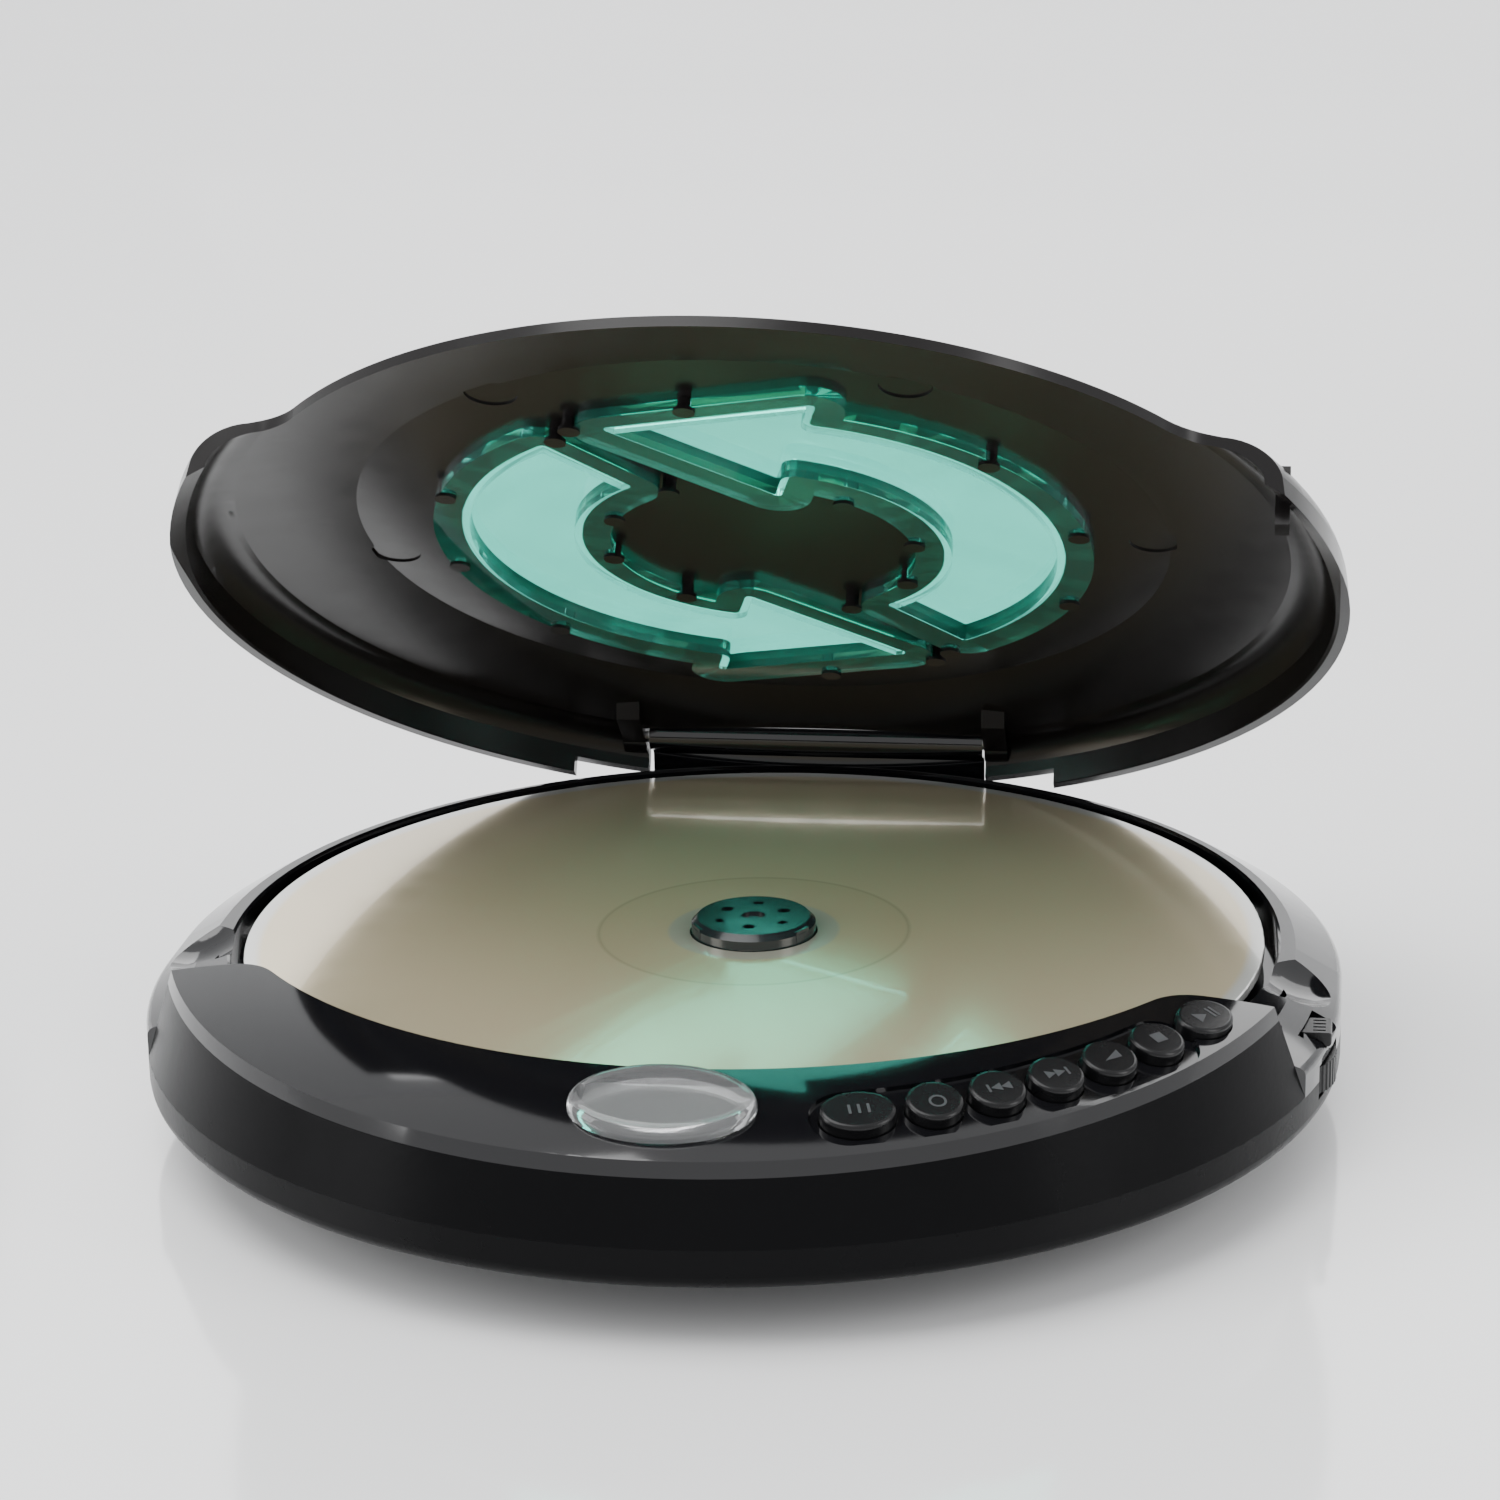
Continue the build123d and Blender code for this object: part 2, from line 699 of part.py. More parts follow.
with BuildPart() as lid_shell:
    add(dome())
    add(dome_hollow(), mode=Mode.SUBTRACT)
    add(ring_clearance, mode=Mode.SUBTRACT)
    with BuildSketch(lid_level(lid_rim_z - 6)):
        add(front_footprint(gap))
    extrude(amount=24, mode=Mode.SUBTRACT)
    with BuildSketch(lid_level(lid_rim_z - 6)):
        with Locations((0, hinge_y + 5.4)):
            Rectangle(2 * arm_inner, 16)
    extrude(amount=24, mode=Mode.SUBTRACT)
    with BuildSketch(lid_level(skirt_relief_z)):
        with Locations((0, hinge_y + 5)):
            Rectangle(2 * skirt_relief_half, 24)
    extrude(amount=-8, mode=Mode.SUBTRACT)
    for turn in (0, 180):
        with BuildSketch(lid_level(ceiling_z - 0.5)):
            add(turned(arrow(), turn))
        extrude(amount=6, mode=Mode.SUBTRACT)
    for side in (-1, 1):
        with BuildSketch(hinge_plane.offset(side * (arm_inner + arm_width / 2))):
            Circle(arm_radius)
            with BuildLine():
                Polyline(*[opened_offset(back, up) for back, up in arm_root], close=True)
            make_face()
        extrude(amount=arm_width / 2, both=True)
    for side in (-1, 1):
        with BuildSketch(hinge_plane.offset(side * (arm_inner - 1))):
            Circle(hinge_pin_radius + 0.05)
        extrude(amount=side * (arm_width + 1.1), mode=Mode.SUBTRACT)
    with BuildSketch(lid_level(tongue_foot_z)):
        with Locations((tongue_x, tongue_y)):
            Rectangle(1.6, 3.0)
    extrude(amount=21.0 - tongue_foot_z)
    for turn in (0, 180):
        with BuildSketch(lid_level(ceiling_z + 0.3)):
            with Locations(*stake_places(turn)):
                Circle(stake_radius)
        extrude(amount=-(flange_t + 0.75))
        with BuildSketch(lid_level(ceiling_z - flange_t - 0.05)):
            with Locations(*stake_places(turn)):
                Circle(stake_radius + 0.45)
        extrude(amount=-0.4)
    with BuildSketch(lid_level(ceiling_z - 0.1)):
        with Locations(*ejector_points):
            Circle(3.0)
    extrude(amount=0.3, mode=Mode.SUBTRACT)
finish(lid_shell.part, "lid_shell")

for name, turn in (("front", 0), ("rear", 180)):
    with BuildPart() as window:
        with BuildSketch(lid_level(ceiling_z - 0.01)):
            add(turned(arrow(-0.1), turn))
        extrude(amount=6)
        add(dome(), mode=Mode.INTERSECT)
        with BuildSketch(lid_level(ceiling_z)):
            add(turned(arrow(flange_width), turn))
        extrude(amount=-flange_t)
        with BuildSketch(lid_level(ceiling_z - flange_t)):
            add(turned(arrow(-1.0), turn))
        extrude(amount=flange_t + 0.9, mode=Mode.SUBTRACT)
        with BuildSketch(lid_level(ceiling_z)):
            with Locations(*stake_places(turn)):
                Circle(stake_radius + 0.05)
        extrude(amount=-flange_t, mode=Mode.SUBTRACT)
    finish(window.part, "arrow_window_" + name)

with BuildPart() as hinge_pins:
    for side in (-1, 1):
        with BuildSketch(hinge_pin_plane.offset(side * pin_inner_x)):
            Circle(hinge_pin_radius)
        extrude(amount=side * (arm_inner + arm_width - pin_inner_x))
finish(hinge_pins.part, "hinge_pins")


# ================================================================= disc drive
platform_radius = 14.0
platform_low_z = 13.9
disc_low_z = disc_top - disc_thickness
hub_radius = 7.35
hub_top_z = 18.2
jaw_angles = [90.0, 210.0, 330.0]
jaw_width = 2.4
shaft_radius = 1.0
running_gap = 0.06
motor_radius = 12.0
motor_low_z = 6.0
motor_bore_z = 7.0


def jaw_slots(grow):
    """Radial slots near the edge of the hub, one for each clamp jaw."""
    with BuildPart(mode=Mode.PRIVATE) as slots:
        with BuildSketch(Plane.XY.offset(16.7 - grow)):
            with PolarLocations(6.4, 3, start_angle=jaw_angles[0]):
                Rectangle(1.8 + 2 * grow, jaw_width + 2 * grow)
        extrude(amount=1.2 + 2 * grow)
    return slots.part


with BuildPart() as disc:
    with BuildSketch(Plane.XY.offset(disc_low_z)):
        Circle(disc_radius)
        Circle(disc_bore_radius, mode=Mode.SUBTRACT)
    extrude(amount=disc_thickness)
    fillet(disc.edges().filter_by(GeomType.CIRCLE), 0.15)
    with BuildSketch(Plane.XY.offset(disc_low_z)):
        Circle(17.3)
        Circle(16.7, mode=Mode.SUBTRACT)
    extrude(amount=-0.2)
finish(disc.part, "disc")

with BuildPart() as turntable:
    with BuildSketch(Plane.XY.offset(motor_bore_z + 0.1)):
        Circle(shaft_radius)
    extrude(amount=platform_low_z - motor_bore_z)
    with BuildSketch(Plane.XY.offset(platform_low_z)):
        Circle(platform_radius)
    extrude(amount=disc_low_z - platform_low_z)
    with BuildSketch(Plane.XY.offset(disc_low_z)):
        Circle(hub_radius)
    extrude(amount=hub_top_z - disc_low_z)
    chamfer(level_edges(turntable, hub_top_z), 0.7)
    with BuildSketch(Plane.XY.offset(disc_low_z - 0.3)):
        Circle(13.6)
        Circle(9.6, mode=Mode.SUBTRACT)
    extrude(amount=0.3, mode=Mode.SUBTRACT)
    add(jaw_slots(0.0), mode=Mode.SUBTRACT)
    with BuildSketch(Plane.XY.offset(hub_top_z - 1.2)):
        with PolarLocations(3.9, 3, start_angle=30):
            Circle(0.75)
        with PolarLocations(4.3, 3, start_angle=90):
            Rectangle(0.9, 1.2)
    extrude(amount=2, mode=Mode.SUBTRACT)
    with BuildSketch(Plane.XY.offset(hub_top_z - 0.4)):
        Circle(1.4)
    extrude(amount=2, mode=Mode.SUBTRACT)
finish(turntable.part, "turntable")

with BuildPart() as turntable_mat:
    with BuildSketch(Plane.XY.offset(disc_low_z - 0.3)):
        Circle(13.6)
        Circle(9.6, mode=Mode.SUBTRACT)
    extrude(amount=0.3)
finish(turntable_mat.part, "turntable_mat")

with BuildPart() as clamp_jaws:
    add(jaw_slots(0.0))
    with BuildSketch(Plane.XY.offset(15)):
        Circle(hub_radius + 0.05)
    extrude(amount=5, mode=Mode.INTERSECT)
finish(clamp_jaws.part, "clamp_jaws")

with BuildPart() as spindle_motor:
    with BuildSketch(Plane.XY.offset(motor_low_z)):
        Circle(motor_radius)
    extrude(amount=chassis_z - motor_low_z)
    with BuildSketch(Plane.XY.offset(chassis_z)):
        Circle(3.0)
    extrude(amount=chassis_t + 0.8)
    with BuildSketch(Plane.XY.offset(motor_bore_z)):
        Circle(shaft_radius + running_gap)
    extrude(amount=10, mode=Mode.SUBTRACT)
finish(spindle_motor.part, "spindle_motor")

rod_x = 14.0
rod_z = 9.4
rod_front_y = 13.5
rod_back_y = 62.2
screw_x = 20.6
screw_z = 9.0

with BuildPart() as mech_chassis:
    with BuildSketch(Plane.XY.offset(chassis_z)):
        with Locations((0, 24)):
            Rectangle(56, 80)
        add(outline(wall + 1.4), mode=Mode.INTERSECT)
        with Locations((0, 37.6)):
            Rectangle(36.4, 48.2, mode=Mode.SUBTRACT)
        Circle(3.05, mode=Mode.SUBTRACT)
        with Locations(*damper_points):
            Circle(1.0, mode=Mode.SUBTRACT)
    extrude(amount=chassis_t)
    for side in (-1, 1):
        for y in (12.5, 62.6):
            with BuildSketch(Plane.XY.offset(8.0)):
                with Locations((side * rod_x, y)):
                    Rectangle(4, 2.3)
            extrude(amount=chassis_z - 8.0 + 0.2)
        with BuildSketch(Plane.XZ.offset(-rod_back_y)):
            with Locations((side * rod_x, rod_z)):
                Circle(1.0)
        extrude(amount=rod_back_y - rod_front_y + 0.5, mode=Mode.SUBTRACT)
    for y, depth in ((12.2, 1.6), (57.5, 2.0)):
        with BuildSketch(Plane.XY.offset(7.2)):
            with Locations((screw_x, y)):
                Rectangle(3.6, depth)
        extrude(amount=chassis_z - 7.2 + 0.2)
    with BuildSketch(Plane.XZ.offset(-60)):
        with Locations((screw_x, screw_z)):
            Circle(0.8)
    extrude(amount=50, mode=Mode.SUBTRACT)
finish(mech_chassis.part, "mech_chassis")

with BuildPart() as guide_rods:
    for side in (-1, 1):
        with BuildSketch(Plane.XZ.offset(-rod_back_y)):
            with Locations((side * rod_x, rod_z)):
                Circle(1.0)
        extrude(amount=rod_back_y - rod_front_y + 0.5)
finish(guide_rods.part, "guide_rods")

lens_rest_y = 26.0
sled_front_y = lens_rest_y - 11.5
sled_back_y = lens_rest_y + 4.5

with BuildPart() as pickup_sled:
    with BuildSketch(Plane.XY.offset(7.6)):
        with Locations((0, (sled_front_y + sled_back_y) / 2)):
            Rectangle(33.0, sled_back_y - sled_front_y)
    extrude(amount=3.9)
    with BuildSketch(Plane.XY.offset(11.5)):
        with Locations((0, lens_rest_y - 1.0)):
            Rectangle(20.0, 10.0)
    extrude(amount=1.3)
    with BuildSketch(Plane.XY.offset(11.8)):
        with Locations((0, lens_rest_y)):
            Circle(3.05)
    extrude(amount=1.2, mode=Mode.SUBTRACT)
    with BuildSketch(Plane.XY.offset(8.2)):
        with Locations((17.4, lens_rest_y - 4)):
            Rectangle(3.2, 4.0)
    extrude(amount=1.6)
    for side in (-1, 1):
        with BuildSketch(Plane.XZ.offset(-sled_back_y - 1)):
            with Locations((side * rod_x, rod_z)):
                Circle(1.0 + running_gap)
        extrude(amount=20, mode=Mode.SUBTRACT)
finish(pickup_sled.part, "pickup_sled")

with BuildPart() as objective_lens:
    with BuildSketch(Plane.XY.offset(11.8)):
        with Locations((0, lens_rest_y)):
            Circle(3.0)
    extrude(amount=0.9)
    with Locations((0, lens_rest_y, 11.7)):
        Sphere(1.9)
    with BuildSketch(Plane.XY.offset(9)):
        with Locations((0, lens_rest_y)):
            Rectangle(8, 8)
    extrude(amount=2.8, mode=Mode.SUBTRACT)
finish(objective_lens.part, "objective_lens")

with BuildPart() as lead_screw:
    with BuildSketch(Plane.XZ.offset(-58.3)):
        with Locations((screw_x, screw_z)):
            Circle(0.75)
    extrude(amount=49)
    with BuildSketch(Plane.XZ.offset(-56.2)):
        with Locations((screw_x, screw_z)):
            Circle(1.5)
    extrude(amount=42.8)
    groove_count = 28
    for index in range(groove_count):
        with BuildSketch(Plane.XZ.offset(-(14.4 + 1.5 * index))):
            with Locations((screw_x, screw_z)):
                Circle(1.6)
                Circle(1.15, mode=Mode.SUBTRACT)
        extrude(amount=-0.6, mode=Mode.SUBTRACT)
finish(lead_screw.part, "lead_screw")

with BuildPart() as sled_motor:
    with BuildSketch(Plane.XY.offset(4.4)):
        with Locations((screw_x, 5.6)):
            Rectangle(9.0, 11.4)
    extrude(amount=chassis_z - 4.4)
    fillet(sled_motor.edges().filter_by(Axis.Y), 1.2)
    with BuildSketch(Plane.XZ.offset(-12)):
        with Locations((screw_x, screw_z)):
            Circle(0.81)
    extrude(amount=4, mode=Mode.SUBTRACT)
finish(sled_motor.part, "sled_motor")

with BuildPart() as dampers:
    with BuildSketch(Plane.XY.offset(damper_low_z)):
        with Locations(*damper_points):
            Circle(2.8)
        with Locations(*damper_points):
            Circle(1.0, mode=Mode.SUBTRACT)
    extrude(amount=chassis_z - damper_low_z)
finish(dampers.part, "dampers")


# ================================================================= electronics
board_top = board_level + 1.2

with BuildPart() as main_board:
    with BuildSketch(Plane.XY.offset(board_level)):
        with Locations((-43.0, 8.0)):
            Rectangle(31.0, 60.0)
        add(outline(wall + 10.4), mode=Mode.INTERSECT)
        with Locations(*screw_points):
            Circle(boss_radius + 0.8, mode=Mode.SUBTRACT)
    extrude(amount=board_top - board_level)
finish(main_board.part, "main_board")

chip_places = [(-40.0, -6.0, 12.0), (-38.0, 16.0, 9.0), (-36.0, 31.0, 6.0)]

with BuildPart() as board_chips:
    for x, y, side in chip_places:
        with BuildSketch(Plane.XY.offset(board_top)):
            with Locations((x, y)):
                Rectangle(side, side)
        extrude(amount=1.4)
finish(board_chips.part, "board_chips")

with BuildPart() as board_capacitors:
    with BuildSketch(Plane.XY.offset(board_top)):
        with GridLocations(0, 6.0, 1, 3):
            with Locations((-51.0, -10.0)):
                Circle(2.1)
    extrude(amount=4.6)
finish(board_capacitors.part, "board_capacitors")

headphone_front_x = -62.8
headphone_mouth_x = -68.6
plug_radius = 1.8
plug_depth = 13.0
power_front_x = -59.9
power_mouth_x = -66.0

with BuildPart() as headphone_jack:
    with BuildSketch(Plane.YZ.offset(headphone_front_x)):
        with Locations((headphone_y, (board_top + 12.0) / 2)):
            Rectangle(7.4, 12.0 - board_top)
    extrude(amount=9.0)
    with BuildSketch(Plane.YZ.offset(headphone_mouth_x)):
        with Locations((headphone_y, jack_z)):
            Circle(headphone_radius - 0.2)
    extrude(amount=headphone_front_x - headphone_mouth_x)
    with BuildSketch(Plane.YZ.offset(headphone_mouth_x)):
        with Locations((headphone_y, jack_z)):
            Circle(plug_radius)
    extrude(amount=plug_depth, mode=Mode.SUBTRACT)
finish(headphone_jack.part, "headphone_jack")

with BuildPart() as power_jack:
    with BuildSketch(Plane.YZ.offset(power_front_x)):
        with Locations((power_y, (board_top + 12.0) / 2)):
            Rectangle(8.8, 12.0 - board_top)
    extrude(amount=6.0)
    with BuildSketch(Plane.YZ.offset(power_mouth_x)):
        with Locations((power_y, jack_z)):
            RectangleRounded(8.8, 6.0, 0.9)
    extrude(amount=power_front_x - power_mouth_x)
    with BuildSketch(Plane.YZ.offset(power_mouth_x)):
        with Locations((power_y, jack_z)):
            Circle(2.3)
            Circle(0.6, mode=Mode.SUBTRACT)
    extrude(amount=9.5, mode=Mode.SUBTRACT)
finish(power_jack.part, "power_jack")

knurl_count = 60

with BuildPart() as volume_wheel:
    with BuildSketch(Plane.XY.offset(wheel_z)):
        with Locations(wheel_centre):
            Circle(wheel_radius)
            Circle(1.5, mode=Mode.SUBTRACT)
            with PolarLocations(wheel_radius + 0.12, knurl_count):
                Circle(0.26, mode=Mode.SUBTRACT)
    extrude(amount=wheel_t)
finish(volume_wheel.part, "volume_wheel")

with BuildPart() as volume_pot:
    with BuildSketch(Plane.XY.offset(7.5)):
        with Locations(wheel_centre):
            Circle(4.0)
    extrude(amount=0.8)
    with BuildSketch(Plane.XY.offset(6.6)):
        with Locations((54.0, -18.6)):
            Rectangle(10.0, 5.0)
    extrude(amount=1.7)
    with BuildSketch(Plane.XY.offset(8.2)):
        with Locations(wheel_centre):
            Circle(1.5 - running_gap)
    extrude(amount=wheel_z + wheel_t - 8.2)
finish(volume_pot.part, "volume_pot")

with BuildPart() as open_slider:
    with BuildSketch(Plane.XY.offset(slider_low_z)):
        with Locations((65.9, (slider_front_y + slider_back_y) / 2)):
            Rectangle(4.2, slider_back_y - slider_front_y)
        with Locations((62.6, slider_front_y + 0.4)):
            Rectangle(3.6, 3.0)
    extrude(amount=slider_t)
    fillet(open_slider.faces().sort_by(Axis.X)[-1].edges(), 0.4)
    with BuildSketch(Plane.XY.offset(slider_low_z + slider_t)):
        with GridLocations(0, 1.0, 1, 4):
            with Locations((66.6, (slider_front_y + slider_back_y) / 2)):
                Rectangle(1.4, 0.35)
    extrude(amount=-0.25, mode=Mode.SUBTRACT)
finish(open_slider.part, "open_slider")


# ================================================================= batteries and fittings
with BuildPart() as battery_door:
    with BuildSketch(Plane.XY.offset(door_low_z)):
        with Locations((0, (door_front_y + door_hinge_y) / 2)):
            Rectangle(2 * door_half_x, door_hinge_y - door_front_y)
    extrude(amount=door_t)
    with BuildSketch(Plane.YZ.offset(-door_half_x)):
        with Locations((door_hinge_y, door_low_z + door_t / 2)):
            Circle(door_t / 2)
    extrude(amount=2 * door_half_x)
    with BuildSketch(Plane.YZ.offset(-door_peg_reach)):
        with Locations((door_hinge_y, door_low_z + door_t / 2)):
            Circle(door_peg_radius)
    extrude(amount=2 * door_peg_reach)
    with BuildSketch(Plane.XY):
        with GridLocations(0, 1.2, 1, 4):
            with Locations((0, door_front_y + 4)):
                Rectangle(14, 0.5)
    extrude(amount=0.35, mode=Mode.SUBTRACT)
finish(battery_door.part, "battery_door")

cell_offset_y = battery_depth / 4
contact_z = 6.8

with BuildPart() as battery_contacts:
    for side in (-1, 1):
        with BuildSketch(Plane.YZ.offset(side * (battery_half_x - 0.4))):
            with Locations((battery_mid_y, contact_z)):
                with GridLocations(2 * cell_offset_y, 0, 2, 1):
                    Rectangle(8.0, 8.0)
        extrude(amount=side * 0.4)
finish(battery_contacts.part, "battery_contacts")

spring_pitch = 0.9
spring_length = 2.6

with BuildPart() as battery_springs:
    for side in (-1, 1):
        start = (side * (battery_half_x - 0.75), battery_mid_y + side * cell_offset_y, contact_z)
        coil = Helix(spring_pitch, spring_length, 2.4, center=start, direction=(-side, 0, 0))
        wire_plane = Plane(origin=coil @ 0, z_dir=coil % 0)
        with BuildSketch(wire_plane):
            Circle(0.3)
        sweep(path=coil)
finish(battery_springs.part, "battery_springs")

with BuildPart() as case_screws:
    with BuildSketch(Plane.XY.offset(screw_seat_z - 1.5)):
        with Locations(*screw_points):
            Circle(screw_head_radius)
    extrude(amount=1.5)
    with BuildSketch(Plane.XY.offset(screw_seat_z)):
        with Locations(*screw_points):
            Circle(screw_radius)
    extrude(amount=deck_top - deck_t - 0.4 - screw_seat_z)
    with BuildSketch(Plane.XY.offset(screw_seat_z - 1.5)):
        with Locations(*screw_points):
            Rectangle(2.2, 0.5)
            Rectangle(0.5, 2.2)
    extrude(amount=0.9, mode=Mode.SUBTRACT)
finish(case_screws.part, "case_screws")

with BuildPart() as rubber_feet:
    with BuildSketch(Plane.XY.offset(-foot_height)):
        with Locations(*foot_points):
            Circle(foot_radius)
    extrude(amount=foot_height + 0.6)
    fillet(level_edges(rubber_feet, -foot_height), 0.5)
finish(rubber_feet.part, "rubber_feet")
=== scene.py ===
"""Looks of the portable disc player: materials, symbols on the keys, studio and camera."""
import json
from math import cos, radians, sin

import bmesh
import bpy
from mathutils import Matrix, Vector


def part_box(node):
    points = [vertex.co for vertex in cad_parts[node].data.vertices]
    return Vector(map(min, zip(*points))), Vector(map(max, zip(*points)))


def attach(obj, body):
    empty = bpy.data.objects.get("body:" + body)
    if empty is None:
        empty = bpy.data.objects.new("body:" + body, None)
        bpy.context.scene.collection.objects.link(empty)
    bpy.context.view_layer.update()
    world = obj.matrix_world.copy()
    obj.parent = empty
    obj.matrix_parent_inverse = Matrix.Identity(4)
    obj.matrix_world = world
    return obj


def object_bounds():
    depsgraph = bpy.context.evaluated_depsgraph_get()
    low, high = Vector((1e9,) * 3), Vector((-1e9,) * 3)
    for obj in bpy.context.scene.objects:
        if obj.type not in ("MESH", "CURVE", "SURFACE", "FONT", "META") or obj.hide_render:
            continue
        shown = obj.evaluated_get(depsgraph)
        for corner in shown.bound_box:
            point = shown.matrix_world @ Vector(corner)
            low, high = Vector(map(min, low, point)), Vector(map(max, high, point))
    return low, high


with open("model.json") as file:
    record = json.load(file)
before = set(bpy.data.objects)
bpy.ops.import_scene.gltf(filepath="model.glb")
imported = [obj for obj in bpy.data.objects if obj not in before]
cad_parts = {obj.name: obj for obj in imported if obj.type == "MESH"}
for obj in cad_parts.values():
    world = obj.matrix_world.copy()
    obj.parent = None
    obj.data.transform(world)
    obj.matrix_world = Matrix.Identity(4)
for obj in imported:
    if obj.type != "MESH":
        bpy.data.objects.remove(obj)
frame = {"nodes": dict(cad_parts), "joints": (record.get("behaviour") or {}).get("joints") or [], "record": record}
cad_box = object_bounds()
nodes = frame["nodes"]

MM = 0.001
DISC_RADIUS = 0.06
GRAIN_HEIGHT = 0.0002
DISC_GRAIN_HEIGHT = 0.0001
GLOSS_COAT_ROUGHNESS = 0.06
CLEAR_TRANSMISSION = 0.93
CLEAR_IOR = 1.46
KEY_TOP_BAND = 0.00002
SYMBOL_LIFT = 0.00003
SYMBOL_THICKNESS = 0.00004


# ---------------------------------------------------------------- node helpers
def new_material(name):
    material = bpy.data.materials.new(name)
    material.use_nodes = True
    tree = material.node_tree
    return material, tree, tree.nodes["Principled BSDF"]


def node(tree, kind, **values):
    """New shader node: each value sets the attribute of that name, or else the input."""
    made = tree.nodes.new(kind)
    for key, value in values.items():
        if hasattr(made, key):
            setattr(made, key, value)
        else:
            made.inputs[key.replace("_", " ")].default_value = value
    return made


def object_place(tree):
    return node(tree, "ShaderNodeTexCoord").outputs["Object"]


def noise(tree, place, **values):
    made = node(tree, "ShaderNodeTexNoise", **values)
    tree.links.new(place, made.inputs["Vector"])
    return made.outputs["Fac"]


def ramp(tree, source, stops):
    """Colour ramp through (place, colour) stops."""
    made = node(tree, "ShaderNodeValToRGB")
    elements = made.color_ramp.elements
    while len(elements) < len(stops):
        elements.new(0.5)
    for element, (place, colour) in zip(elements, stops):
        element.position = place
        element.color = (*colour, 1.0)
    tree.links.new(source, made.inputs["Fac"])
    return made.outputs["Color"]


def spread(tree, source, low, high):
    """Noise from 0 to 1 stretched to run from low to high."""
    made = node(tree, "ShaderNodeMapRange", To_Min=low, To_Max=high)
    tree.links.new(source, made.inputs["Value"])
    return made.outputs["Result"]


def add_bump(tree, shader, height, strength, distance=GRAIN_HEIGHT):
    made = node(tree, "ShaderNodeBump", Strength=strength, Distance=distance)
    tree.links.new(height, made.inputs["Height"])
    tree.links.new(made.outputs["Normal"], shader.inputs["Normal"])


def scaled(colour, factor):
    return tuple(c * factor for c in colour)


# ---------------------------------------------------------------- materials
def plastic(name, colour, roughness, coat=0.0, grain=900.0, grain_depth=0.1, mottle=0.12, specular=0.5):
    """Moulded plastic: slight colour mottling, moulded grain and uneven polish."""
    material, tree, shader = new_material(name)
    place = object_place(tree)
    cloud = noise(tree, place, Scale=38.0, Detail=4.0)
    tints = [(0.3, scaled(colour, 1 - mottle)), (0.7, scaled(colour, 1 + mottle))]
    tree.links.new(ramp(tree, cloud, tints), shader.inputs["Base Color"])
    wear = noise(tree, place, Scale=210.0, Detail=6.0)
    tree.links.new(spread(tree, wear, roughness * 0.8, roughness * 1.25), shader.inputs["Roughness"])
    fine = noise(tree, place, Scale=grain, Detail=2.0)
    add_bump(tree, shader, fine, grain_depth)
    shader.inputs["Specular IOR Level"].default_value = specular
    shader.inputs["Coat Weight"].default_value = coat
    shader.inputs["Coat Roughness"].default_value = GLOSS_COAT_ROUGHNESS
    return material


def tinted_clear(name, colour, roughness, cloudy=0.05):
    """Clear moulded plastic: light goes through and takes the tint, with faint flow marks."""
    material, tree, shader = new_material(name)
    flow = noise(tree, object_place(tree), Scale=45.0, Detail=2.0, Distortion=1.2)
    tints = [(0.35, scaled(colour, 0.9)), (0.65, colour)]
    tree.links.new(ramp(tree, flow, tints), shader.inputs["Base Color"])
    tree.links.new(spread(tree, flow, roughness * 0.6, roughness * 1.6), shader.inputs["Roughness"])
    add_bump(tree, shader, flow, cloudy)
    shader.inputs["Transmission Weight"].default_value = CLEAR_TRANSMISSION
    shader.inputs["IOR"].default_value = CLEAR_IOR
    return material


def metal(name, colour, roughness, stretch=(1.0, 1.0, 30.0)):
    """Drawn or turned metal with fine streaks."""
    material, tree, shader = new_material(name)
    mapping = node(tree, "ShaderNodeMapping", Scale=stretch)
    tree.links.new(object_place(tree), mapping.inputs["Vector"])
    streak = noise(tree, mapping.outputs["Vector"], Scale=300.0, Detail=4.0)
    tree.links.new(spread(tree, streak, roughness * 0.6, roughness * 1.5), shader.inputs["Roughness"])
    tints = [(0.3, scaled(colour, 0.8)), (0.7, colour)]
    tree.links.new(ramp(tree, streak, tints), shader.inputs["Base Color"])
    shader.inputs["Metallic"].default_value = 1.0
    return material


